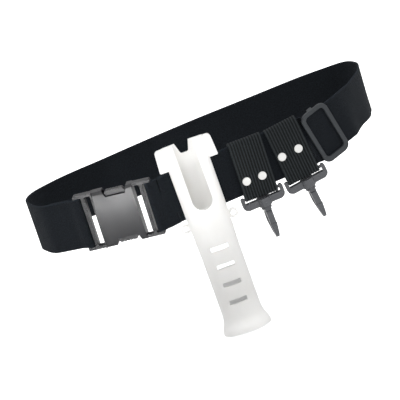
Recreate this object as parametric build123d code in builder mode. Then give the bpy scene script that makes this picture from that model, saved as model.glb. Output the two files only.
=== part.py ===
"""Fishing waist belt with a rod holder: webbing loop, side-release buckle, two snap-hook tabs, tri-glide.

Frame: millimetres, as worn. +Z is up, the front faces -Y, +X is to the right seen from the front.
The origin is the centre of the waist loop, at half the height of the webbing.
"""
from build123d import *
import os

# Webbing
webbing_width = 50
webbing_thickness = 1.8
layer_offset = 1.1        # from the middle of a doubled strap to the middle of one layer
gap = 0.4                 # clearance round the webbing inside what slides on it
hair = 0.02

# Flat stretches of the strap: centre, heading, rise and lean in degrees
front_centre = (0, -43, 0)
front_start = -24
return_end = 108
front_end = 111
tilted_centre = (115.5, -43, 0)
glide_centre = (134.5, -40, 0.6)
glide_heading, glide_rise, glide_lean = 9, 13, -9
glide_flat_start, glide_flat_end = -14.5, 24
buckle_centre = (-75.3, -31.4, 2)
buckle_heading, buckle_rise = -19, -4

# Side-release buckle
buckle_half_length = 38.4
buckle_half_height = 28.5
buckle_slot_height = 50.8
end_bar_x = 36
end_bar_radius = 2.4
end_frame_depth = 6.8
wrap_radius = 3.6         # middle of the webbing round an end bar
wrap_lead = 9             # where a wrapped layer lies flat again
ladder_bar = (27.2, 30.8)
inner_slot = (20.8, 27.2)
seam_x = -19.5
housing_end_x = 20.8
housing_front, housing_back = 6.6, -5.2
cavity_end_x = 17
cavity_half_height = 27.3
cavity_half_depth = 3.3
arm_pivot = (-13.2, 20)
arm_knuckle = 2.6

# Rod holder
holder_x = -0.3
holder_rise = -2.5
tube_radius = 20.6
tube_bore = 16.9
butt_bore = 16.2
tube_lean = 9.5           # the tube's foot stands out from the belt, pivoted level with the belt's top edge
lean_height = 25.5
tube_turn = -5            # the tube's front is turned a little to the wearer's right
tube_top_front, tube_top_rear = 52.3, 48.4
tube_bottom = -137.5
floor_top = -130.5
foot_radius = 23.6
butt_seat_top = -109
scoop_width = 19
scoop_end = -14.6
shoulder_height = 26.4
notch_bottom, notch_half_width = 37.8, 3.7
ear_reach, ear_bottom, ear_top, ear_depth = 28.8, 28.4, 49.4, 13
ear_top_reach = 27.4
hook_plate_width, hook_plate_thickness = 36, 2.4
lug_x, lug_height, lug_radius, lug_hole = 23.6, -29, 4.8, 2.4
drain_slot = (17.2, 4.2)
drain_first, drain_pitch, drain_count = -53.5, -17.6, 4
rear_window = (20, 37)
rear_window_height = -60

# Hanging tabs: x of the centre, rise, and where the two rivets sit (middle x, height, spacing)
tab_width = 33
tabs = {"left": (58, -2.5, -2, -12.5, 16), "right": (98.3, 4.5, -2.4, -2.5, 17.5)}
tab_window = 26.6
tab_top, tab_bottom = 27.8, -32.8
tab_front, tab_back = 5.4, -4.0
rivet_hole = 1.55
rivet_cap = 4.1

# Snap hooks: x of the swivel and rise of the frame that hangs from each tab
hooks = {"left": (57.15, -0.3), "right": (98.8, 5.5)}
swing_height = -29.6
swing_out = 2.2
frame_half_width = 21.4
frame_arm = 3.5
frame_bottom = -41
frame_bar_top = -34.4
boss_radius = 6.8
boss_top, boss_bottom = -33.9, -41.8
stem_radius = 2.52
stem_hole = 2.6
hook_bottom = -76.5
hook_bend = -68
gate_split = -60.2


def panel(centre, heading=0, rise=0, lean=0):
    """A plane on the strap: x along it, y up across the webbing, z outward from the waist."""
    along = Vector(1, 0, 0).rotate(Axis.Y, -rise).rotate(Axis.Z, heading)
    outward = Vector(0, -1, 0).rotate(Axis.Z, heading).rotate(Axis((0, 0, 0), along), -lean)
    return Plane(origin=centre, x_dir=along, z_dir=outward)


def across(strap, x=0, out=0):
    """The plane that cuts a strap panel square across at x: its x is up, its y is outward."""
    return Plane(origin=strap.from_local_coords(Vector(x, 0, out)), x_dir=strap.y_dir, z_dir=strap.x_dir)


def edge_on(strap, up=0):
    """The plane seen from above: its x runs along the strap and its y is inward."""
    return Plane(origin=strap.from_local_coords(Vector(0, up, 0)), x_dir=strap.x_dir, z_dir=strap.y_dir)


def flat_run(strap, start, end, out=0):
    """A straight flat length of webbing on a panel."""
    with BuildSketch(across(strap, start, out)) as section:
        Rectangle(webbing_width, webbing_thickness)
    extrude(section.sketch, amount=end - start)


def bend(start, end, steps):
    """Cutting planes between two others, on a cubic that leaves and meets them square."""
    reach = (end.origin - start.origin).length
    cuts = []
    for i in range(1, steps):
        t = i / steps
        place = (
            start.origin * (2 * t**3 - 3 * t**2 + 1)
            + start.z_dir * (reach * (t**3 - 2 * t**2 + t))
            + end.origin * (3 * t**2 - 2 * t**3)
            + end.z_dir * (reach * (t**3 - t**2))
        )
        along = (
            (end.origin - start.origin) * (6 * t - 6 * t**2)
            + start.z_dir * (reach * (3 * t**2 - 4 * t + 1))
            + end.z_dir * (reach * (3 * t**2 - 2 * t))
        ).normalized()
        up = start.x_dir * (1 - t) + end.x_dir * t
        cuts.append(Plane(origin=place, x_dir=up - along * up.dot(along), z_dir=along))
    return cuts


def joined_run(*cuts, steps=1):
    """Webbing lofted through cutting planes, with a smooth bend between each two."""
    path = [cuts[0]]
    for start, end in zip(cuts, cuts[1:]):
        path += bend(start, end, steps) + [end]
    sections = []
    for cut in path:
        with BuildSketch(cut) as section:
            Rectangle(webbing_width, webbing_thickness)
        sections.append(section.sketch)
    loft(sections)


def bar_wrap(strap, side):
    """Webbing wrapped round a buckle's end bar at the panel's origin; side +1 leaves to +x."""
    with BuildSketch(edge_on(strap, -webbing_width / 2)) as wrap:
        with BuildLine():
            near = Line((side * wrap_lead, layer_offset), (0, wrap_radius))
            turn = ThreePointArc(near @ 1, (-side * wrap_radius, 0), (0, -wrap_radius))
            Line(turn @ 1, (side * wrap_lead, -layer_offset))
        trace(line_width=webbing_thickness)
    extrude(wrap.sketch, amount=webbing_width)


def finish(piece, label):
    piece.part.label = label
    export_step(piece.part, f"parts/{label}.step")


os.makedirs("parts", exist_ok=True)

front = panel(front_centre)
buckle = panel(buckle_centre, buckle_heading, buckle_rise)
tilted = panel(tilted_centre, 0, glide_rise / 2)
glide = panel(glide_centre, glide_heading, glide_rise, glide_lean)
right_wrap = panel(buckle.from_local_coords(Vector(end_bar_x, 0, 0)), 0, buckle_rise)
left_wrap = panel(buckle.from_local_coords(Vector(-end_bar_x, 0, 0)), -24, buckle_rise)

# The loop behind the wearer, from the tri-glide round the right fold and the back to the left fold
right_fold = [
    panel((174, -24, 8.5), 44, 9, -9),
    panel((192, 3, 9.5), 74, 4, -5),
    panel((193, 31, 9), 112, 1, -1),
]
back_run = [
    panel((168, 50, 7.5), 165),
    panel((110, 60, 6.5), 178),
    panel((20, 63, 7), 180),
    panel((-60, 60, 7), 184),
    panel((-122, 52, 8), 196),
]
split = panel((-148, 35, 9), 240, 0, 2)
left_fold = panel((-150.5, 13, 8.5), 288, -3, 3)

with BuildPart() as strap_main:
    bar_wrap(right_wrap, 1)
    joined_run(across(right_wrap, wrap_lead, layer_offset), across(front, front_start, layer_offset))
    flat_run(front, front_start, front_end, layer_offset)
    joined_run(across(right_wrap, wrap_lead, -layer_offset), across(front, front_start, -layer_offset))
    flat_run(front, front_start, return_end, -layer_offset)
    # The next three lengths start a hair's breadth on, so that they stay clean separate solids
    joined_run(across(front, front_end + hair, layer_offset), across(tilted, 0, layer_offset))
    joined_run(across(tilted, hair, layer_offset), across(glide, glide_flat_start))
    flat_run(glide, glide_flat_start + hair, glide_flat_end)
    joined_run(
        across(glide, glide_flat_end),
        *[across(p) for p in right_fold],
        *[across(p) for p in back_run],
        across(split, -0.3),
        steps=3,
    )
finish(strap_main, "strap_main")

sewn_length = 30
with BuildPart() as strap_left:
    bar_wrap(left_wrap, -1)
    flat_run(left_wrap, -sewn_length, -wrap_lead, layer_offset)
    flat_run(left_wrap, -sewn_length + 3, -wrap_lead, -layer_offset)
    joined_run(
        across(split, 0.3), across(left_fold), across(left_wrap, -sewn_length, layer_offset), steps=4
    )
finish(strap_left, "strap_left")

# Tri-glide: side bars in front of the strap, centre bar behind it
glide_half_width, glide_half_height, glide_rail = 15, 29.5, 4.5
glide_window_top, glide_window_bottom = 25.2, -23.6
ring_back, ring_front = 1.3, 3.6
bar_half_length = 27.4
bar_thickness = 2.6
bar_out = -4.6
tail_out = -2.1
with BuildPart() as tri_glide:
    with BuildSketch(glide.offset(ring_back)):
        RectangleRounded(2 * glide_half_width, 2 * glide_half_height, 8)
        with Locations((0, (glide_window_top + glide_window_bottom) / 2)):
            RectangleRounded(
                2 * (glide_half_width - glide_rail),
                glide_window_top - glide_window_bottom,
                4,
                mode=Mode.SUBTRACT,
            )
    extrude(amount=ring_front - ring_back)
    ring_face = tri_glide.faces().sort_by(Axis(glide.origin, glide.z_dir))[-1]
    fillet(ring_face.edges(), 0.9)
    with BuildSketch(edge_on(glide, -bar_half_length)):
        with Locations((0, -bar_out)):
            RectangleRounded(5, bar_thickness, bar_thickness / 2 - 0.02)
    extrude(amount=2 * bar_half_length)
    with BuildSketch(glide.offset(bar_out - bar_thickness / 2)):
        with Locations((0, bar_half_length - 1), (0, 1 - bar_half_length)):
            Rectangle(5, 2)
    extrude(amount=ring_front - 0.5 - bar_out + bar_thickness / 2)
finish(tri_glide, "tri_glide")

tail_wrap = bar_thickness / 2 + 0.3 + webbing_thickness / 2
with BuildPart() as strap_tail:
    with BuildSketch(edge_on(glide, -webbing_width / 2)):
        with BuildLine():
            top = Line((-12, -tail_out), (1.2, -tail_out))
            end = ThreePointArc(top @ 1, (1.2 + tail_wrap, -bar_out), (1.2, -bar_out + tail_wrap))
            back = Line(end @ 1, (-2, -bar_out + tail_wrap))
            slope = Line(back @ 1, (-7.5, -tail_out + 1.9))
            Line(slope @ 1, (-11, -tail_out + 1.9))
        trace(line_width=webbing_thickness)
    extrude(amount=webbing_width)
finish(strap_tail, "strap_tail")


def end_frame(side):
    """One buckle end: rails, the round end bar that the webbing wraps, and the ridged ladder bar."""
    lo, hi = inner_slot[0] - 1.5, buckle_half_length
    with BuildSketch(buckle.offset(-end_frame_depth / 2)) as outline:
        with Locations((side * (lo + hi) / 2, 0)):
            RectangleRounded(hi - lo, 2 * buckle_half_height, 1.4)
        for start, stop in (inner_slot, (ladder_bar[1], hi + 2)):
            with Locations((side * (start + stop) / 2, 0)):
                Rectangle(stop - start, buckle_slot_height, mode=Mode.SUBTRACT)
    extrude(outline.sketch, amount=end_frame_depth)
    bar_foot = buckle.from_local_coords(Vector(side * end_bar_x, -buckle_half_height + 1, 0))
    with BuildSketch(Plane(origin=bar_foot, x_dir=buckle.x_dir, z_dir=buckle.y_dir)) as end_bar:
        Circle(end_bar_radius)
    extrude(end_bar.sketch, amount=2 * buckle_half_height - 2)
    ridges = int(buckle_slot_height / 2)
    with BuildSketch(buckle.offset(end_frame_depth / 2 - 0.5)) as grooves:
        with Locations((side * (ladder_bar[0] + ladder_bar[1]) / 2, 0)):
            with GridLocations(1, 2, 1, ridges):
                Rectangle(3.7, 0.8)
    extrude(grooves.sketch, amount=0.6, mode=Mode.SUBTRACT)


def latch_window(side):
    """The side opening where a latch arm is pressed."""
    with BuildSketch(buckle.offset(-8)) as notch:
        with BuildLine():
            Polyline(
                (-9.5, side * 29), (-6.5, side * 21.8), (13, side * 21.8), (15.4, side * 29),
                (-9.5, side * 29),
            )
        make_face()
    extrude(notch.sketch, amount=16, mode=Mode.SUBTRACT)


with BuildPart() as buckle_housing:
    # The front face is crowned, with sloping edges
    with BuildSketch(across(buckle, seam_x + 0.3)):
        with BuildLine():
            Polyline(
                (25.4, 5.2), (buckle_half_height, 3.9), (buckle_half_height, housing_back),
                (-buckle_half_height, housing_back), (-buckle_half_height, 3.9), (-25.4, 5.2),
            )
            ThreePointArc((-25.4, 5.2), (0, housing_front), (25.4, 5.2))
        make_face()
    extrude(amount=housing_end_x - seam_x - 0.3)
    with BuildSketch(buckle.offset(-cavity_half_depth)):
        with Locations(((seam_x + cavity_end_x) / 2, 0)):
            Rectangle(cavity_end_x - seam_x, 2 * cavity_half_height)
    extrude(amount=2 * cavity_half_depth, mode=Mode.SUBTRACT)
    end_frame(1)
    for side in (1, -1):
        latch_window(side)
finish(buckle_housing, "buckle_housing")

prong_depth = 5.6
plug_front = 5.6
with BuildPart() as buckle_plug:
    end_frame(-1)
    with BuildSketch(buckle.offset(housing_back + 0.4)):
        with Locations((seam_x - 0.65, 0)):
            Rectangle(1.3, 2 * buckle_half_height)
    extrude(amount=plug_front - housing_back - 0.4)
    with BuildSketch(buckle.offset(-prong_depth / 2)):
        with Locations((seam_x + 3, 0)):
            Rectangle(6.2, 2 * cavity_half_height - 0.8)
        with Locations((0, 0)):
            RectangleRounded(30, 10, 3)
        with Locations((-13, 0)):
            Rectangle(6, 10)
        with Locations((arm_pivot[0], arm_pivot[1]), (arm_pivot[0], -arm_pivot[1])):
            Circle(arm_knuckle + 0.35, mode=Mode.SUBTRACT)
    extrude(amount=prong_depth)
finish(buckle_plug, "buckle_plug")

for side, label in ((1, "latch_arm_upper"), (-1, "latch_arm_lower")):
    with BuildPart() as latch_arm:
        with BuildSketch(buckle.offset(-prong_depth / 2)):
            with Locations((arm_pivot[0], side * arm_pivot[1])):
                Circle(arm_knuckle)
            with BuildLine():
                Polyline(
                    (arm_pivot[0], side * 18.4),
                    (arm_pivot[0], side * 22.2),
                    (-9, side * 23.2),
                    (-5.6, side * 26.9),
                    (10.5, side * 26.9),
                    (14.2, side * 22),
                    (12.5, side * 19.4),
                    (0, side * 18.4),
                    (arm_pivot[0], side * 18.4),
                )
            make_face()
        extrude(amount=prong_depth)
        # Finger grooves on the pressed edge
        with BuildSketch(buckle.offset(-prong_depth / 2)):
            with Locations(*[(x, side * 27.2) for x in (-2.5, 0.5, 3.5, 6.5)]):
                Rectangle(1.1, 1.4)
        extrude(amount=prong_depth, mode=Mode.SUBTRACT)
    finish(latch_arm, label)

# Rod holder: tube with a front scoop, eared head, belt hook behind, side lugs, drain slots
holder = panel((holder_x, front_centre[1], 0), 0, holder_rise)
plate_back = layer_offset + webbing_thickness / 2 + gap
leaning = panel(holder.from_local_coords(Vector(0, lean_height, plate_back)), 0, holder_rise, tube_lean)
upright = Axis((0, 0, 0), leaning.y_dir)
tube = Plane(
    origin=leaning.from_local_coords(Vector(0, -lean_height, tube_radius)),
    x_dir=leaning.x_dir.rotate(upright, tube_turn),
    z_dir=leaning.z_dir.rotate(upright, tube_turn),
)


def tube_level(height):
    """The plane square to the tube's axis at a height on it."""
    return Plane(origin=tube.from_local_coords(Vector(0, height, 0)), x_dir=tube.x_dir, z_dir=tube.y_dir)


with BuildPart() as scoop_rim:
    with BuildSketch(tube_level(scoop_end - 4.5)):
        Circle(tube_radius + 1.1)
    extrude(amount=tube_top_front - scoop_end + 4.5)
    with BuildSketch(tube):
        with Locations((0, tube_top_front)):
            SlotCenterToCenter(2 * (tube_top_front - scoop_end) - scoop_width, scoop_width + 9, rotation=90)
    extrude(amount=2 * tube_radius, mode=Mode.INTERSECT)

with BuildPart() as ears:
    with BuildSketch(tube.offset(-ear_depth / 2)) as head:
        with BuildLine():
            Polyline(
                (-ear_reach, ear_bottom), (-ear_top_reach, ear_top), (ear_top_reach, ear_top),
                (ear_reach, ear_bottom), (-ear_reach, ear_bottom),
            )
        make_face()
        fillet([v for v in head.vertices() if v.Y > ear_top - 1], 3.6)
        fillet([v for v in head.vertices() if v.Y < ear_bottom + 1], 1.2)
    extrude(amount=ear_depth)
    chamfer(ears.faces().sort_by(Axis(tube.origin, tube.z_dir))[-1].edges(), 1)

with BuildPart() as rod_holder:
    with BuildSketch(tube):
        with BuildLine():
            wall = Polyline(
                (0, tube_top_front), (tube_radius, tube_top_front), (20.3, -20), (19.2, -60), (19.1, -114)
            )
            flare = Spline(wall @ 1, (20.1, -125), (foot_radius, -136.3), tangents=((0, -1), (0.1, -1)))
            Polyline(flare @ 1, (foot_radius, tube_bottom), (0, tube_bottom), (0, tube_top_front))
        make_face()
    revolve(axis=Axis(tube.origin, tube.y_dir))
    add(scoop_rim.part)
    # The mouth is cut sloping, its front lip higher than its rear
    top_middle = tube.from_local_coords(Vector(0, (tube_top_front + tube_top_rear) / 2, 0))
    slope = 2 * tube_radius * tube.y_dir - (tube_top_front - tube_top_rear) * tube.z_dir
    with BuildSketch(Plane(origin=top_middle, x_dir=tube.x_dir, z_dir=slope)):
        Rectangle(60, 60)
    extrude(amount=12, mode=Mode.SUBTRACT)
    add(ears.part)
    # The bridge over the belt's top edge and the plate behind the belt
    with BuildSketch(across(holder, -hook_plate_width / 2)):
        with Locations((shoulder_height + 1.4, 0)):
            Rectangle(2.8, 2 * (plate_back + hook_plate_thickness))
    extrude(amount=hook_plate_width)
    with BuildSketch(holder.offset(-plate_back)):
        with Locations((0, 3)):
            RectangleRounded(hook_plate_width, 52.4, 6)
        with Locations((0, shoulder_height - 5)):
            Rectangle(hook_plate_width, 15.6)
    extrude(amount=-hook_plate_thickness)
    with BuildSketch(tube.offset(-1.5)):
        with Locations((lug_x, lug_height), (-lug_x, lug_height)):
            Circle(lug_radius)
    extrude(amount=3)
    with BuildSketch(tube.offset(-1.5)):
        with Locations((lug_x, lug_height), (-lug_x, lug_height)):
            Circle(lug_hole)
    extrude(amount=3, mode=Mode.SUBTRACT)
    # Bore, butt seat, floor with a drain hole, and the hollow under the floor
    with BuildSketch(tube_level(butt_seat_top)):
        Circle(tube_bore)
    extrude(amount=tube_top_front - butt_seat_top + 1, mode=Mode.SUBTRACT)
    with BuildSketch(tube_level(floor_top)):
        Circle(butt_bore)
    extrude(amount=butt_seat_top - floor_top, mode=Mode.SUBTRACT)
    with BuildSketch(tube_level(tube_bottom)):
        Circle(foot_radius - 3)
    extrude(amount=floor_top - 3 - tube_bottom, mode=Mode.SUBTRACT)
    with BuildSketch(tube_level(tube_bottom)):
        Circle(6)
    extrude(amount=10, mode=Mode.SUBTRACT)
    # Notch in the rear of the mouth
    with BuildSketch(tube) as notch:
        with BuildLine():
            Polyline(
                (-notch_half_width, notch_bottom), (-8, tube_top_front), (8, tube_top_front),
                (notch_half_width, notch_bottom), (-notch_half_width, notch_bottom),
            )
        make_face()
        fillet([v for v in notch.vertices() if v.Y < notch_bottom + 1], 2.2)
    extrude(amount=-2 * tube_radius, mode=Mode.SUBTRACT)
    # Scoop and drain slots through the front wall, window through the rear wall
    with BuildSketch(tube):
        with Locations((0, tube_top_front + 10)):
            SlotCenterToCenter(2 * (tube_top_front + 10 - scoop_end) - scoop_width, scoop_width, rotation=90)
        for row in range(drain_count):
            with Locations((0, drain_first + row * drain_pitch)):
                RectangleRounded(*drain_slot, 0.8)
    extrude(amount=2 * tube_radius, mode=Mode.SUBTRACT)
    with BuildSketch(tube):
        with Locations((0, rear_window_height)):
            RectangleRounded(*rear_window, 3)
    extrude(amount=-2 * tube_radius, mode=Mode.SUBTRACT)
finish(rod_holder, "rod_holder")

for name, (tab_x, tab_rise, rivet_x, rivet_height, rivet_spacing) in tabs.items():
    tab = panel((tab_x, front_centre[1], 0), 0, tab_rise)
    rivet_places = [(rivet_x + side * rivet_spacing / 2, rivet_height) for side in (-1, 1)]

    # Webbing loop round the belt, with a tunnel at the bottom for the hook frame's bar
    with BuildPart() as tab_webbing:
        with BuildSketch(across(tab, -tab_width / 2)) as loop:
            with BuildLine():
                Polyline(
                    (tab_top, tab_back), (tab_top, tab_front), (tab_bottom, tab_front), (tab_bottom, -0.6),
                    (-27.8, tab_back), (tab_top, tab_back),
                )
            make_face()
            fillet([v for v in loop.vertices() if v.X > 0], 2.2)
            fillet([v for v in loop.vertices() if v.X < -tab_window], 1.2)
            Rectangle(2 * tab_window, 2 * plate_back, mode=Mode.SUBTRACT)
            with Locations((swing_height, swing_out)):
                RectangleRounded(4.4, 3.8, 1.8, mode=Mode.SUBTRACT)
        extrude(amount=tab_width)
        with BuildSketch(tab.offset(plate_back)):
            with Locations(*rivet_places):
                Circle(rivet_hole)
        extrude(amount=4, mode=Mode.SUBTRACT)
        with BuildSketch(tab.offset(plate_back)):
            with Locations(*rivet_places):
                Circle(3.4)
        extrude(amount=0.9, mode=Mode.SUBTRACT)
    finish(tab_webbing, f"tab_{name}_webbing")

    # Double-cap rivets: a domed cap outside, a headed post from behind
    with BuildPart() as rivet_caps:
        with BuildSketch(tab.offset(tab_front)):
            with Locations(*rivet_places):
                Circle(rivet_cap)
        extrude(amount=1.3)
        fillet(rivet_caps.edges().group_by(Axis(tab.origin, tab.z_dir))[-1], 0.9)
        with BuildSketch(tab.offset(tab_front)):
            with Locations(*rivet_places):
                Circle(0.8)
        extrude(amount=0.7, mode=Mode.SUBTRACT)
    finish(rivet_caps, f"tab_{name}_rivet_caps")

    with BuildPart() as rivet_posts:
        with BuildSketch(tab.offset(plate_back + 0.1)):
            with Locations(*rivet_places):
                Circle(3.3)
        extrude(amount=0.75)
        with BuildSketch(tab.offset(plate_back + 0.5)):
            with Locations(*rivet_places):
                Circle(1.5)
        extrude(amount=tab_front - plate_back - 0.5)
        with BuildSketch(tab.offset(tab_front - 0.2)):
            with Locations(*rivet_places):
                Circle(0.75)
        extrude(amount=0.8)
    finish(rivet_posts, f"tab_{name}_rivet_posts")

for name, (hook_x, hook_rise) in hooks.items():
    swing = panel((hook_x, front_centre[1], 0), 0, hook_rise).offset(swing_out)

    def swivel_disc(radius, low, high, mode=Mode.ADD):
        """A round stretch of the swivel's axis between two heights."""
        foot = swing.from_local_coords(Vector(0, low, 0))
        with BuildSketch(Plane(origin=foot, x_dir=swing.x_dir, z_dir=swing.y_dir)) as disc:
            Circle(radius)
        extrude(disc.sketch, amount=high - low, mode=mode)

    # Frame that hangs in the tab's tunnel, with the swivel boss in its bottom bar
    with BuildPart() as hook_frame:
        top = swing_height + 1.9
        with BuildSketch(swing.offset(-1.9)) as arms:
            with Locations((0, (top + frame_bottom) / 2)):
                Rectangle(2 * frame_half_width, top - frame_bottom)
            fillet([v for v in arms.vertices() if v.Y > -30], 1.7)
            fillet([v for v in arms.vertices() if v.Y < -40], 5)
            with Locations((0, frame_bar_top + 10)):
                Rectangle(2 * (frame_half_width - frame_arm), 20, mode=Mode.SUBTRACT)
        extrude(amount=3.8)
        with BuildSketch(swing.offset(-3)):
            with Locations((0, (frame_bar_top + frame_bottom) / 2)):
                RectangleRounded(2 * frame_half_width - 5, frame_bar_top - frame_bottom, 2.6)
        extrude(amount=6)
        with BuildSketch(across(swing, -frame_half_width + 1)):
            with Locations((swing_height, 0)):
                Circle(1.5)
        extrude(amount=2 * frame_half_width - 2)
        swivel_disc(boss_radius, boss_bottom, boss_top)
        swivel_disc(4.3, boss_top - 2.4, boss_top, Mode.SUBTRACT)
        swivel_disc(stem_hole, boss_bottom, boss_top, Mode.SUBTRACT)
    finish(hook_frame, f"hook_{name}_frame")

    # Hook: swivel head, stem and collar above a J that tapers to its tip
    pivot_height, pivot_out = -48.8, 4.9
    with BuildPart() as snap_hook:
        with BuildSketch(across(swing, -3.3)):
            with BuildLine():
                neck = Polyline((-43.5, -3.4), (-50, -9), (hook_bend, -9))
                bend = ThreePointArc(neck @ 1, (hook_bottom, -0.8), (hook_bend, 7.4))
                nose = Polyline(bend @ 1, (gate_split, 7.4), (gate_split, 3.6), (hook_bend, 3.6))
                inside = ThreePointArc(nose @ 1, (hook_bend - 4.4, -0.8), (hook_bend, -5.2))
                Polyline(
                    inside @ 1, (-53, -5.2), (-48.6, -1.5), (-48.4, 1.4), (-46.3, 2.6), (-46.3, 6.9),
                    (-43.5, 5.4), (-43.5, -3.4),
                )
            make_face()
        extrude(amount=6.6)
        with BuildSketch(swing.offset(-12)):
            with BuildLine():
                Polyline(
                    (-3.3, -43), (-3.3, gate_split), (-1.3, hook_bottom - 1), (1.3, hook_bottom - 1),
                    (3.3, gate_split), (3.3, -43), (-3.3, -43),
                )
            make_face()
        extrude(amount=24, mode=Mode.INTERSECT)
        swivel_disc(5.2, -45, boss_bottom - 0.2)
        swivel_disc(stem_radius, -44, boss_top - 0.8)
        swivel_disc(4, boss_top - 2.2, boss_top - 0.3)
    finish(snap_hook, f"hook_{name}_body")

    with BuildPart() as hook_gate:
        with BuildSketch(across(swing, -3)):
            with Locations((pivot_height, pivot_out)):
                Circle(2.15)
            with BuildLine():
                Polyline(
                    (pivot_height, 2.9), (pivot_height, 6.9), (gate_split + 0.3, 7.2), (gate_split + 0.3, 4),
                    (pivot_height, 2.9),
                )
            make_face()
        extrude(amount=6)
    finish(hook_gate, f"hook_{name}_gate")
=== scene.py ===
import math

import bmesh
import bpy
from mathutils import Matrix, Vector


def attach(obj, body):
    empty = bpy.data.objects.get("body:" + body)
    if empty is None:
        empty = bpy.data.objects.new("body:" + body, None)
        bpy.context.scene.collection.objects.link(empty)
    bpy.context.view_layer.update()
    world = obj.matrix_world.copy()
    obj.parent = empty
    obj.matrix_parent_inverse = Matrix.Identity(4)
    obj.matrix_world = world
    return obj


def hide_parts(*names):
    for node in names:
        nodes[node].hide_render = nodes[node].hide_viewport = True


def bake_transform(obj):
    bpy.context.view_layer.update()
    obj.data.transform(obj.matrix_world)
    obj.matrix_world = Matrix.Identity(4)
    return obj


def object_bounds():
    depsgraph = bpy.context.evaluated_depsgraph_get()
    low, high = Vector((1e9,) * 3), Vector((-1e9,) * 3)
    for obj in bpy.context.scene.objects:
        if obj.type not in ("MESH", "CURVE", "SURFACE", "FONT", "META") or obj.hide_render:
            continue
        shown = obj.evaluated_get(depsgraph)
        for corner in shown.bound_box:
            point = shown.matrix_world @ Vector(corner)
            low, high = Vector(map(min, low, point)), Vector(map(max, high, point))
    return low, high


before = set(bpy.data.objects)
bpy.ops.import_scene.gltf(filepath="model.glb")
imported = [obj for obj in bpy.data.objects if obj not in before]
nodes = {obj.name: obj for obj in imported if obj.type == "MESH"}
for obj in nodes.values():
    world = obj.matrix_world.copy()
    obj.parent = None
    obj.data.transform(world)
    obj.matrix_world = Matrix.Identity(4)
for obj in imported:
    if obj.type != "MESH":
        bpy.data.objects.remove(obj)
cad_low, cad_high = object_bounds()

MM = 0.001

# ---------------------------------------------------------------- places on the belt, in millimetres


class Panel:
    """A flat stretch of strap: x along it, y up across the webbing, z outward from the waist."""

    def __init__(self, centre, heading=0, rise=0, lean=0):
        turn = Matrix.Rotation(math.radians(heading), 3, "Z")
        self.origin = Vector(centre)
        self.x = turn @ (Matrix.Rotation(math.radians(-rise), 3, "Y") @ Vector((1, 0, 0)))
        outward = turn @ Vector((0, -1, 0))
        self.z = Matrix.Rotation(math.radians(-lean), 3, self.x) @ outward
        self.y = self.z.cross(self.x)

    def at(self, x=0, up=0, out=0):
        return self.origin + self.x * x + self.y * up + self.z * out

    def turned(self, x, up, out):
        return self.x * x + self.y * up + self.z * out


front = Panel((0, -43, 0))
buckle = Panel((-75.3, -31.4, 2), -19, -4)
tilted = Panel((115.5, -43, 0), 0, 6.5)
glide = Panel((134.5, -40, 0.6), 9, 13, -9)
right_wrap = Panel(buckle.at(36), 0, -4)
left_wrap = Panel(buckle.at(-36), -24, -4)
right_fold = [Panel((174, -24, 8.5), 44, 9, -9), Panel((192, 3, 9.5), 74, 4, -5), Panel((193, 31, 9), 112, 1, -1)]
back_run = [
    Panel((168, 50, 7.5), 165),
    Panel((110, 60, 6.5), 178),
    Panel((20, 63, 7), 180),
    Panel((-60, 60, 7), 184),
]
left_back = [Panel((-60, 60, 7), 184), Panel((-122, 52, 8), 196), Panel((-148, 35, 9), 240, 0, 2)]
left_fold = Panel((-150.5, 13, 8.5), 288, -3, 3)
tabs = {"left": (58, -2.5), "right": (98.3, 4.5)}

BELT_WIDTH, BELT_THICKNESS = 50, 1.8
LAYER = 1.1          # middle of a doubled strap to the middle of one layer
WRAP = 3.6           # middle of the webbing round a buckle's end bar
WRAP_LEAD = 9        # where a wrapped layer lies flat again
BAR_OUT = -4.6       # the tri-glide's centre bar
BAR_WRAP = 2.5       # middle of the webbing round that bar
TAIL_OUT = -2.1      # the tail's layer in front of the bar
TAIL_RETURN = -4.1   # and its end behind
TAB_WIDTH, TAB_THICKNESS = 33, 1.3
TAB_BACK, TAB_FRONT, TAB_LINING = -3.3, 4.75, 3.25
RIBS, RIB_DEPTH = 12, 0.55

# ---------------------------------------------------------------- sweeping webbing


def key(panel, x=0, out=0, heading=(1, 0), reach=1.0):
    """A key station: the point, the direction of travel (along, out) and the webbing's up direction."""
    return (panel.at(x, 0, out), panel.turned(heading[0], 0, heading[1]).normalized(), panel.y.copy(), reach)


def smooth_path(keys, pitch=2.5):
    """Stations (point, travel, up, length so far) on a cubic through the key stations."""
    stations = []
    length = 0.0
    for (a, ta, ua, ra), (b, tb, ub, rb) in zip(keys, keys[1:]):
        chord = (b - a).length
        turn = ta.angle(tb)
        reach = chord * (1 + 0.18 * min(1.0, turn / 1.57)) * max(ra, rb)
        steps = max(2, int(chord / pitch), int(turn / 0.14))
        for i in range(steps + 1):
            if i == 0 and stations:
                continue
            t = i / steps
            point = (
                a * (2 * t**3 - 3 * t**2 + 1)
                + ta * (reach * (t**3 - 2 * t**2 + t))
                + b * (3 * t**2 - 2 * t**3)
                + tb * (reach * (t**3 - t**2))
            )
            travel = (
                (b - a) * (6 * t - 6 * t**2)
                + ta * (reach * (3 * t**2 - 4 * t + 1))
                + tb * (reach * (3 * t**2 - 2 * t))
            ).normalized()
            share = t * t * (3 - 2 * t)
            up = ua.lerp(ub, share)
            up = (up - travel * up.dot(travel)).normalized()
            if stations:
                length += (point - stations[-1][0]).length
            stations.append((point, travel, up, length))
    return stations


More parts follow.
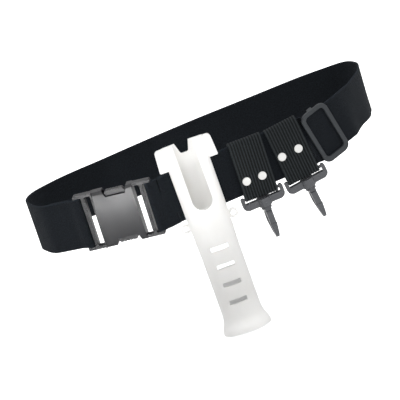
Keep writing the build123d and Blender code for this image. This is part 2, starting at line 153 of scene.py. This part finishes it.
def webbing_section(width, thickness, border=1.3, groove=0.14, columns=14):
    """Half round edges, a slightly proud selvedge and a flat middle, as (across, out) pairs."""
    half, thin = width / 2, thickness / 2
    side = [
        (-half, 0.0),
        (-half + 0.12, thin * 0.62),
        (-half + 0.42, thin * 0.93),
        (-half + 0.8, thin),
        (-half + border, thin * 0.97),
        (-half + border + 0.35, thin - groove),
    ]
    flat = [
        (-half + border + 0.35 + (width - 2 * border - 0.7) * i / columns, thin - groove * 0.6)
        for i in range(1, columns)
    ]
    top = side + flat + [(-a, b) for a, b in reversed(side)]
    bottom = [(a, -b) for a, b in reversed(top[1:-1])]
    return top + bottom


def sweep(name, stations, section, material, closed=False, start=0.0):
    """A mesh of the section carried along the stations, with UVs in millimetres."""
    count = len(section)
    points, faces, uvs = [], [], []
    for point, travel, up, _ in stations:
        out = travel.cross(up).normalized()
        points += [(point + up * a + out * b) * MM for a, b in section]
    rounds = len(stations) if closed else len(stations) - 1
    for i in range(rounds):
        j = (i + 1) % len(stations)
        here = start + stations[i][3]
        there = start + (stations[j][3] if j else stations[i][3] + (stations[0][0] - stations[i][0]).length)
        for k in range(count):
            m = (k + 1) % count
            faces.append((i * count + k, i * count + m, j * count + m, j * count + k))
            va, vb = section[k][0], section[m][0]
            uvs.append(((here, va), (here, vb), (there, vb), (there, va)))
    if not closed:
        for i, order in ((0, range(count - 1, -1, -1)), (len(stations) - 1, range(count))):
            base = len(points)
            points += points[i * count : (i + 1) * count]
            faces.append(tuple(base + k for k in order))
            uvs.append(tuple((start + stations[i][3], section[k][0]) for k in order))
    mesh = bpy.data.meshes.new(name)
    mesh.from_pydata([tuple(p) for p in points], [], faces)
    layer = mesh.uv_layers.new(name="length_and_width")
    for polygon, corners in zip(mesh.polygons, uvs):
        for loop, uv in zip(polygon.loop_indices, corners):
            layer.data[loop].uv = uv
    return made(name, mesh, material)


def made(name, mesh, material):
    """The mesh as a smooth shaded piece with its faces all turned outward."""
    shape = bmesh.new()
    shape.from_mesh(mesh)
    bmesh.ops.recalc_face_normals(shape, faces=shape.faces)
    shape.to_mesh(mesh)
    shape.free()
    mesh.polygons.foreach_set("use_smooth", [True] * len(mesh.polygons))
    mesh.materials.append(material)
    mesh.update()
    piece = bpy.data.objects.new(name, mesh)
    bpy.context.scene.collection.objects.link(piece)
    return piece


def stitches(name, rows, material, length=2.3, gap=0.9, width=0.5, height=0.22):
    """Raised lock stitches along straight rows, each row (start, end, outward) in millimetres."""
    points, faces = [], []
    rings = [(-0.5, 0.0), (-0.42, 0.7), (-0.2, 1.0), (0.2, 1.0), (0.42, 0.7), (0.5, 0.0)]
    for a, b, out in rows:
        run = b - a
        travel = run.normalized()
        across = out.cross(travel).normalized()
        number = max(1, int(round(run.length / (length + gap))))
        step = run.length / number
        for i in range(number):
            middle = a + travel * (step * (i + 0.5))
            base = len(points)
            for s, swell in rings:
                for q in range(6):
                    angle = math.tau * q / 6
                    spot = (
                        middle
                        + travel * (s * length)
                        + across * (math.cos(angle) * width / 2 * max(swell, 0.15))
                        + out * (math.sin(angle) * height * max(swell, 0.15) - (0.1 if swell == 0 else 0))
                    )
                    points.append(spot * MM)
            for r in range(len(rings) - 1):
                for q in range(6):
                    w = (q + 1) % 6
                    near, far = base + r * 6, base + (r + 1) * 6
                    faces.append((near + q, near + w, far + w, far + q))
            faces.append(tuple(base + q for q in reversed(range(6))))
            faces.append(tuple(base + 30 + q for q in range(6)))
    mesh = bpy.data.meshes.new(name)
    mesh.from_pydata([tuple(p) for p in points], [], faces)
    return made(name, mesh, material)


# ---------------------------------------------------------------- materials


class Tree:
    """A material and short calls that add nodes to it."""

    def __init__(self, name):
        self.material = bpy.data.materials.new(name)
        self.material.use_nodes = True
        self.nodes = self.material.node_tree.nodes
        self.links = self.material.node_tree.links
        self.shader = self.nodes["Principled BSDF"]

    def set(self, **values):
        for socket, value in values.items():
            self.shader.inputs[socket.replace("_", " ")].default_value = value

    def feed(self, node, socket, value):
        if isinstance(value, bpy.types.NodeSocket):
            self.links.new(value, node.inputs[socket])
        elif value is not None:
            node.inputs[socket].default_value = value

    def math(self, operation, a, b=None, clamp=False):
        node = self.nodes.new("ShaderNodeMath")
        node.operation = operation
        node.use_clamp = clamp
        for i, value in enumerate((a, b)):
            self.feed(node, i, value)
        return node.outputs[0]

    def noise(self, vector, scale, detail=3.0, roughness=0.55, stretch=None):
        if stretch:
            shaped = self.nodes.new("ShaderNodeMapping")
            self.links.new(vector, shaped.inputs["Vector"])
            shaped.inputs["Scale"].default_value = stretch
            vector = shaped.outputs["Vector"]
        node = self.nodes.new("ShaderNodeTexNoise")
        self.links.new(vector, node.inputs["Vector"])
        node.inputs["Scale"].default_value = scale
        node.inputs["Detail"].default_value = detail
        node.inputs["Roughness"].default_value = roughness
        return node.outputs["Fac"]

    def ramp(self, value, *stops):
        """Greys at two places."""
        node = self.nodes.new("ShaderNodeValToRGB")
        self.links.new(value, node.inputs["Fac"])
        for element, (place, grey) in zip(node.color_ramp.elements, stops):
            element.position = place
            element.color = (grey, grey, grey, 1)
        return node.outputs["Color"]

    def range(self, value, low, high, to_low, to_high):
        node = self.nodes.new("ShaderNodeMapRange")
        for socket, number in zip(
            ("Value", "From Min", "From Max", "To Min", "To Max"), (value, low, high, to_low, to_high)
        ):
            self.feed(node, socket, number)
        return node.outputs["Result"]

    def mix(self, share, a, b):
        node = self.nodes.new("ShaderNodeMix")
        node.data_type = "RGBA"
        self.feed(node, "Factor", share)
        for socket, value in ((6, a), (7, b)):
            if isinstance(value, bpy.types.NodeSocket):
                self.links.new(value, node.inputs[socket])
            else:
                node.inputs[socket].default_value = (*value, 1)
        return node.outputs[2]

    def bump(self, height, distance, strength=1.0, normal=None):
        node = self.nodes.new("ShaderNodeBump")
        self.links.new(height, node.inputs["Height"])
        node.inputs["Distance"].default_value = distance
        node.inputs["Strength"].default_value = strength
        if normal is not None:
            self.links.new(normal, node.inputs["Normal"])
        return node.outputs["Normal"]

    def rounded(self, radius):
        node = self.nodes.new("ShaderNodeBevel")
        node.samples = 4
        node.inputs["Radius"].default_value = radius
        return node.outputs["Normal"]

    def arches(self, turns):
        """A row of half sine arches, one for each whole turn."""
        return self.math("ABSOLUTE", self.math("SINE", self.math("MULTIPLY", turns, math.pi)))

    def object_place(self):
        return self.nodes.new("ShaderNodeTexCoord").outputs["Object"]

    def uv(self):
        node = self.nodes.new("ShaderNodeUVMap")
        node.uv_map = "length_and_width"
        split = self.nodes.new("ShaderNodeSeparateXYZ")
        self.links.new(node.outputs["UV"], split.inputs[0])
        return node.outputs["UV"], split.outputs["X"], split.outputs["Y"]


def webbing_material(name, dark, light, pick, row, half_width, tint, ribs=None):
    """Woven elastic: staggered yarn picks in rows, fuzz, flecks, lint and paler worn edges, in millimetres.

    An even number of ribs puts painted shade in the grooves between the ribs that run along the strip, and a
    painted highlight on the rib crests.
    """
    tree = Tree(name)
    uv, along, across = tree.uv()
    lane = tree.math("DIVIDE", across, row)
    stagger = tree.math("MULTIPLY", tree.math("FLOOR", lane), 0.5)
    turns = tree.math("ADD", tree.math("DIVIDE", along, pick), stagger)
    pick_height = tree.math("POWER", tree.arches(turns), 0.7)
    row_height = tree.math("POWER", tree.arches(lane), 0.6)
    yarn = tree.math("MULTIPLY", pick_height, row_height)
    fuzz = tree.noise(uv, 2.6, 4.0, 0.65)
    cloud = tree.noise(uv, 0.05, 3.0, 0.5)
    height = tree.math("ADD", yarn, tree.math("MULTIPLY", fuzz, 0.35))
    fleck = tree.noise(uv, 0.7, 4.0, 0.7)
    tone = tree.math("ADD", tree.math("MULTIPLY", yarn, 0.6), tree.range(fuzz, 0.3, 0.7, -0.1, 0.4))
    tone = tree.math("ADD", tone, tree.range(fleck, 0.35, 0.65, -0.45, 0.45), clamp=True)
    colour = tree.mix(tone, dark, light)
    colour = tree.mix(tree.range(cloud, 0.35, 0.7, 0.0, 0.45), colour, tint)
    lint = tree.ramp(tree.noise(uv, 1.7, 2.0, 0.7), (0.68, 0.0), (0.76, 1.0))
    colour = tree.mix(tree.math("MULTIPLY", lint, 0.18), colour, (0.16, 0.16, 0.165))
    if ribs:
        rib_light_mask = tree.arches(tree.math("MULTIPLY", across, ribs / (2 * half_width)))
        # Painted shade: the grooves between the ribs turn near black
        colour = tree.mix(tree.range(rib_light_mask, 0.25, 0.75, 0.75, 0.0), colour, (0.0035, 0.0035, 0.003))
        # Painted highlight: the rib crests turn paler
        colour = tree.mix(tree.range(rib_light_mask, 0.8, 1.0, 0.0, 0.5), colour, tuple(1.9 * c for c in light))
    edge = tree.range(tree.math("ABSOLUTE", across), half_width - 1.6, half_width - 0.2, 0.0, 0.55)
    worn = tree.math("MULTIPLY", edge, tree.range(fuzz, 0.3, 0.7, 0.2, 1.0))
    colour = tree.mix(worn, colour, tuple(min(1, 2.1 * c) for c in light))
    tree.links.new(colour, tree.shader.inputs["Base Color"])
    tree.links.new(tree.range(fuzz, 0.2, 0.8, 0.74, 0.95), tree.shader.inputs["Roughness"])
    tree.links.new(tree.bump(height, 0.0005, 1.0), tree.shader.inputs["Normal"])
    tree.set(Specular_IOR_Level=0.12, Sheen_Weight=0.06, Sheen_Roughness=0.5)
    tree.shader.inputs["Sheen Tint"].default_value = (0.6, 0.65, 0.7, 1)
    return tree.material


def plastic_material(name, base, pale, roughness, grain=0.00004, edge=0.0004, worn=0.5, coat=0.0):
    """Moulded plastic: fine mould grain, faint flow marks, scuffs, and paler edges that are edge wear and, where
    the pale colour is high, partly a painted highlight.
    """
    tree = Tree(name)
    place = tree.object_place()
    fine = tree.noise(place, 2600, 3.0, 0.6)
    flow = tree.noise(place, 90, 2.0, 0.5, stretch=(1, 1, 0.35))
    scuff = tree.ramp(tree.noise(place, 260, 5.0, 0.7, stretch=(1, 0.3, 2.5)), (0.56, 0.0), (0.66, 1.0))
    soft = tree.rounded(edge)
    flat = tree.nodes.new("ShaderNodeNewGeometry").outputs["Normal"]
    facing = tree.nodes.new("ShaderNodeVectorMath")
    facing.operation = "DOT_PRODUCT"
    tree.links.new(soft, facing.inputs[0])
    tree.links.new(flat, facing.inputs[1])
    # Paler edges: edge wear, and partly a painted highlight along rounded edges where the pale colour sits far
    # above the base
    worn_and_highlit_edges = tree.range(facing.outputs["Value"], 0.995, 0.86, 0.0, worn)
    worn_and_highlit_edges = tree.math("MULTIPLY", worn_and_highlit_edges, tree.range(fine, 0.35, 0.65, 0.3, 1.0), clamp=True)
    colour = tree.mix(tree.range(flow, 0.3, 0.7, 0.0, 0.5), base, tuple(0.78 * c for c in base))
    colour = tree.mix(worn_and_highlit_edges, colour, pale)
    tree.links.new(colour, tree.shader.inputs["Base Color"])
    rough = tree.range(flow, 0.3, 0.7, roughness - 0.05, roughness + 0.06)
    rough = tree.math("ADD", rough, tree.math("MULTIPLY", scuff, 0.12), clamp=True)
    tree.links.new(rough, tree.shader.inputs["Roughness"])
    tree.links.new(tree.bump(fine, grain, 0.6, soft), tree.shader.inputs["Normal"])
    tree.set(Coat_Weight=coat, Coat_Roughness=0.18)
    return tree.material


def translucent_material(name):
    """Milky moulded plastic that glows where it is thin, with faint sink marks and handling dust."""
    tree = Tree(name)
    place = tree.object_place()
    fine = tree.noise(place, 1500, 3.0, 0.6)
    cloud = tree.noise(place, 38, 3.0, 0.5, stretch=(1, 1, 0.4))
    soft = tree.rounded(0.0006)
    colour = tree.mix(tree.range(cloud, 0.35, 0.65, 0.0, 1.0), (0.935, 0.925, 0.89), (0.95, 0.942, 0.915))
    tree.links.new(colour, tree.shader.inputs["Base Color"])
    tree.links.new(tree.range(cloud, 0.3, 0.7, 0.36, 0.46), tree.shader.inputs["Roughness"])
    tree.links.new(tree.bump(fine, 0.00005, 0.5, soft), tree.shader.inputs["Normal"])
    tree.set(Subsurface_Weight=0.9, Subsurface_Scale=0.014, IOR=1.5)
    tree.shader.inputs["Subsurface Radius"].default_value = (0.95, 0.97, 1.0)
    return tree.material


belt_mat = webbing_material(
    "belt_elastic",
    dark=(0.0018, 0.0027, 0.0042),
    light=(0.0125, 0.0163, 0.022),
    pick=1.25,
    row=0.95,
    half_width=BELT_WIDTH / 2,
    tint=(0.0062, 0.0085, 0.0115),
)
tab_mat = webbing_material(
    "tab_elastic",
    dark=(0.005, 0.0064, 0.007),
    light=(0.031, 0.037, 0.04),
    pick=1.1,
    row=0.55,
    half_width=TAB_WIDTH / 2,
    tint=(0.015, 0.0175, 0.019),
    ribs=RIBS,
)
thread = plastic_material("thread", (0.018, 0.02, 0.022), (0.05, 0.05, 0.05), 0.62, 0.0001, 0.0001, worn=0.1)
buckle_mat = plastic_material("buckle_plastic", (0.008, 0.008, 0.0105), (0.05, 0.05, 0.056), 0.37, coat=0.12)
arm_mat = plastic_material("latch_plastic", (0.010, 0.010, 0.012), (0.06, 0.06, 0.066), 0.33, coat=0.12)
glide_mat = plastic_material("glide_plastic", (0.024, 0.029, 0.034), (0.075, 0.085, 0.095), 0.52, 0.00006)
# The hooks' pale edge colour sits far above their base: their paler edges are partly edge wear and partly a
# painted highlight
hook_mat = plastic_material(
    "hook_plastic", (0.075, 0.078, 0.086), (0.3, 0.305, 0.32), 0.24, 0.00002, 0.0006, coat=0.3
)
rivet_mat = plastic_material("rivet_plastic", (0.86, 0.86, 0.84), (0.93, 0.93, 0.92), 0.36, 0.00003, 0.0003)
tube_mat = translucent_material("tube_plastic")


def finish_node(name, material):
    node = nodes[name]
    if node.material_slots:
        for place in node.material_slots:
            place.material = material
    else:
        node.data.materials.append(material)


for name in ("buckle_housing", "buckle_plug"):
    finish_node(name, buckle_mat)
for name in ("latch_arm_upper", "latch_arm_lower"):
    finish_node(name, arm_mat)
finish_node("tri_glide", glide_mat)
finish_node("rod_holder", tube_mat)
for side in tabs:
    finish_node(f"tab_{side}_rivet_caps", rivet_mat)
    finish_node(f"tab_{side}_rivet_posts", rivet_mat)
    for part in ("frame", "body", "gate"):
        finish_node(f"hook_{side}_{part}", hook_mat)

# ---------------------------------------------------------------- belt webbing

belt_section = webbing_section(BELT_WIDTH, BELT_THICKNESS)

# From the returned layer's end round the buckle, along the front, through the tri-glide and round the back
front_keys = [
    key(front, 100, -LAYER, (-1, 0)),
    key(front, -24, -LAYER, (-1, 0)),
    key(right_wrap, WRAP_LEAD, -LAYER, (-1, 0)),
    key(right_wrap, 0, -WRAP, (-1, 0)),
    key(right_wrap, -WRAP, 0, (0, 1)),
    key(right_wrap, 0, WRAP, (1, 0)),
    key(right_wrap, WRAP_LEAD, LAYER),
    key(front, -24, LAYER),
    key(front, 111, LAYER),
    key(tilted, 0, LAYER, reach=0.4),
    key(glide, -14.5, reach=0.4),
    key(glide, 24),
    *[key(p) for p in right_fold],
    *[key(p) for p in back_run],
]
front_path = smooth_path(front_keys)
belt_front = sweep("belt_webbing_front", front_path, belt_section, belt_mat)
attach(belt_front, "belt")
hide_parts("strap_main")

# From the back round the left fold to the plug's end bar, and back to the hem
left_keys = [
    *[key(p) for p in left_back],
    key(left_fold),
    key(left_wrap, -30, LAYER),
    key(left_wrap, -WRAP_LEAD, LAYER),
    key(left_wrap, 0, WRAP),
    key(left_wrap, WRAP, 0, (0, -1)),
    key(left_wrap, 0, -WRAP, (-1, 0)),
    key(left_wrap, -WRAP_LEAD, -LAYER, (-1, 0)),
    key(left_wrap, -27, -LAYER, (-1, 0)),
]
belt_left = sweep("belt_webbing_left", smooth_path(left_keys), belt_section, belt_mat, start=front_path[-1][3])
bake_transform(belt_left)
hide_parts("strap_left")

# The webbing's end, behind the front layer and round the tri-glide's bar
tail_keys = [
    key(front, 100, -LAYER),
    key(front, 108, -LAYER),
    key(glide, -12, TAIL_OUT),
    key(glide, 1.2, TAIL_OUT),
    key(glide, 1.2 + BAR_WRAP, BAR_OUT, (0, -1)),
    key(glide, 1.2, BAR_OUT - BAR_WRAP, (-1, 0)),
    key(glide, -2, BAR_OUT - BAR_WRAP, (-1, 0)),
    key(glide, -8, TAIL_RETURN, (-1, 0)),
    key(glide, -12.5, TAIL_RETURN, (-1, 0)),
]
belt_tail = sweep("belt_webbing_tail", smooth_path(tail_keys, 1.5), belt_section, belt_mat, start=40)
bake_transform(belt_tail)
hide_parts("strap_tail")


def box_stitch(panel, x0, x1, half, out):
    """Rows of a box stitch with its cross, on the face of a layer that looks toward the wearer."""
    corners = [panel.at(x, up, out) for x, up in ((x0, -half), (x1, -half), (x1, half), (x0, half))]
    rows = [(corners[i], corners[(i + 1) % 4], -panel.z) for i in range(4)]
    return rows + [(corners[0], corners[2], -panel.z), (corners[1], corners[3], -panel.z)]


sewn = stitches("stitches_left", box_stitch(left_wrap, -25, -10.5, 21.5, -LAYER - 0.9), thread)
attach(sewn, "plug")

# ---------------------------------------------------------------- hanging tabs: ribbed elastic loops


def ribbed_section(width, thickness, ribs, depth):
    """A flat strip whose outer face carries rounded ribs that run along it."""
    half = width / 2
    outer = [(-half, 0.0), (-half + 0.1, thickness * 0.35)]
    steps = ribs * 8
    for i in range(steps + 1):
        place = i / steps
        swell = abs(math.sin(math.pi * ribs * place)) ** 0.55
        outer.append((-half + 0.25 + (width - 0.5) * place, thickness / 2 - depth + depth * swell))
    outer += [(half - 0.1, thickness * 0.35), (half, 0.0)]
    inner = [(half - 0.3, -thickness / 2), (half / 3, -thickness / 2), (-half / 3, -thickness / 2)]
    return outer + inner + [(-half + 0.3, -thickness / 2)]


for side, (tab_x, tab_rise) in tabs.items():
    tab = Panel((tab_x, -43, 0), 0, tab_rise)

    def station(up, out, travel_up, travel_out):
        travel = tab.turned(0, travel_up, travel_out).normalized()
        return (tab.at(0, up, out), travel, tab.x.copy(), 1.0)

    # Round the belt: up the back, over the top edge, down the front, under the hook frame's bar
    loop = smooth_path(
        [
            station(-24, TAB_BACK, 1, 0),
            station(23, TAB_BACK, 1, 0),
            station(27.15, 0.7, 0, 1),
            station(23, TAB_FRONT, -1, 0),
            station(-28.8, TAB_FRONT, -1, 0),
            station(-32.15, 2.2, 0, -1),
            station(-29.2, -0.55, 1, -0.1),
            station(-24.01, TAB_BACK, 1, -0.05),
        ],
        2.0,
    )[:-1]
    strip = ribbed_section(TAB_WIDTH, TAB_THICKNESS, RIBS, RIB_DEPTH)
    outer = sweep(f"tab_{side}_ribbed_loop", loop, strip, tab_mat, closed=True)
    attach(outer, f"tab_{side}")
    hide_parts(f"tab_{side}_webbing")
    # The second layer inside the front, which the rivets clamp
    lining_path = smooth_path([station(22, TAB_LINING, -1, 0), station(-26, TAB_LINING, -1, 0)], 4)
    flat_strip = webbing_section(TAB_WIDTH - 0.6, TAB_THICKNESS, 1.0, 0.1)
    lining = sweep(f"tab_{side}_lining", lining_path, flat_strip, tab_mat)
    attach(lining, f"tab_{side}")

# ---------------------------------------------------------------- floor, light and camera

FLOOR_GAP, FLOOR_REACH = 0.0008, 30     # metres from here on
floor_height = cad_low.z - FLOOR_GAP
floor_mesh = bpy.data.meshes.new("floor")
corners = [(x * FLOOR_REACH, y * FLOOR_REACH, floor_height) for x, y in ((-1, -1), (1, -1), (1, 1), (-1, 1))]
floor_mesh.from_pydata(corners, [], [(0, 1, 2, 3)])
floor = bpy.data.objects.new("floor", floor_mesh)
bpy.context.scene.collection.objects.link(floor)
floor_tree = Tree("floor_paper")
floor_tree.set(Roughness=0.9, Specular_IOR_Level=0.1)
floor_tree.shader.inputs["Emission Color"].default_value = (1, 1, 1, 1)
# The floor glows white for the camera alone, so the glow adds no light to the object
seen = floor_tree.nodes.new("ShaderNodeLightPath").outputs["Is Camera Ray"]
floor_tree.links.new(floor_tree.math("MULTIPLY", seen, 0.8), floor_tree.shader.inputs["Emission Strength"])
paper = floor_tree.noise(floor_tree.object_place(), 3, 2.0)
floor_tree.links.new(
    floor_tree.mix(paper, (0.93, 0.93, 0.93), (0.95, 0.95, 0.95)), floor_tree.shader.inputs["Base Color"]
)
floor_mesh.materials.append(floor_tree.material)

# The sky brightens upward, and is plain white where the camera looks past the floor
world = bpy.data.worlds.new("studio")
world.use_nodes = True
sky = world.node_tree
direction = sky.nodes.new("ShaderNodeTexCoord")
height = sky.nodes.new("ShaderNodeSeparateXYZ")
shade = sky.nodes.new("ShaderNodeMapRange")
shade.inputs["From Min"].default_value, shade.inputs["From Max"].default_value = -0.1, 0.9
shade.inputs["To Min"].default_value, shade.inputs["To Max"].default_value = 0.4, 1.02
backdrop = sky.nodes.new("ShaderNodeMath")
backdrop.operation = "MAXIMUM"
sky.links.new(direction.outputs["Generated"], height.inputs[0])
sky.links.new(height.outputs["Z"], shade.inputs["Value"])
sky.links.new(shade.outputs["Result"], backdrop.inputs[0])
sky.links.new(sky.nodes.new("ShaderNodeLightPath").outputs["Is Camera Ray"], backdrop.inputs[1])
sky.links.new(backdrop.outputs[0], sky.nodes["Background"].inputs["Strength"])
sky.nodes["Background"].inputs["Color"].default_value = (1, 1, 1, 1)
bpy.context.scene.world = world


def area_light(name, place, target, size, power, spread=180):
    """A rectangular lamp. Sizes in metres, power in watts, spread in degrees."""
    light = bpy.data.lights.new(name, "AREA")
    light.shape = "RECTANGLE"
    light.size, light.size_y = size
    light.energy = power
    light.spread = math.radians(spread)
    lamp = bpy.data.objects.new(name, light)
    lamp.location = place
    lamp.rotation_mode = "QUATERNION"
    lamp.rotation_quaternion = (Vector(target) - Vector(place)).to_track_quat("-Z", "Y")
    lamp.visible_camera = False
    bpy.context.scene.collection.objects.link(lamp)


aim = (0, 0, -0.03)
area_light("key", (-0.6, -1.6, 1.1), aim, (0.9, 0.8), 4)
area_light("fill", (1.5, -1.4, 0.7), aim, (1.2, 1.2), 9)
area_light("top", (0.0, 0.3, 1.8), aim, (1.6, 1.0), 4.4)
area_light("sheen", (-0.35, -0.56, -0.07), (-0.075, -0.03, 0.01), (0.16, 0.1), 0.029, 16)
area_light("scoop", (-0.056, -0.52, 0.2), (0, -0.055, 0.014), (0.05, 0.05), 0.0068, 14)

# The camera: direction and roll in degrees, distance in metres, focal length in millimetres
AZIMUTH, ELEVATION, ROLL = -5, 18, 21.5
LOOK_AT = Vector((0, -0.045, -0.012))
DISTANCE, LENS = 2.5, 237.4
camera_data = bpy.data.cameras.new("camera")
camera_data.sensor_width = 36
camera_data.lens = LENS
camera_data.clip_start, camera_data.clip_end = 0.05, 50
camera = bpy.data.objects.new("camera", camera_data)
azimuth, elevation, roll = (math.radians(angle) for angle in (AZIMUTH, ELEVATION, ROLL))
away = Vector(
    (
        math.sin(azimuth) * math.cos(elevation),
        -math.cos(azimuth) * math.cos(elevation),
        math.sin(elevation),
    )
)
level = Vector((math.cos(azimuth), math.sin(azimuth), 0))
upright = away.cross(level)
camera_x = level * math.cos(roll) - upright * math.sin(roll)
camera_y = level * math.sin(roll) + upright * math.cos(roll)
turn = Matrix((camera_x, camera_y, away)).transposed()
camera.matrix_world = Matrix.Translation(LOOK_AT + away * DISTANCE) @ turn.to_4x4()
bpy.context.scene.collection.objects.link(camera)
bpy.context.scene.camera = camera
bpy.context.scene.view_settings.view_transform = "Standard"
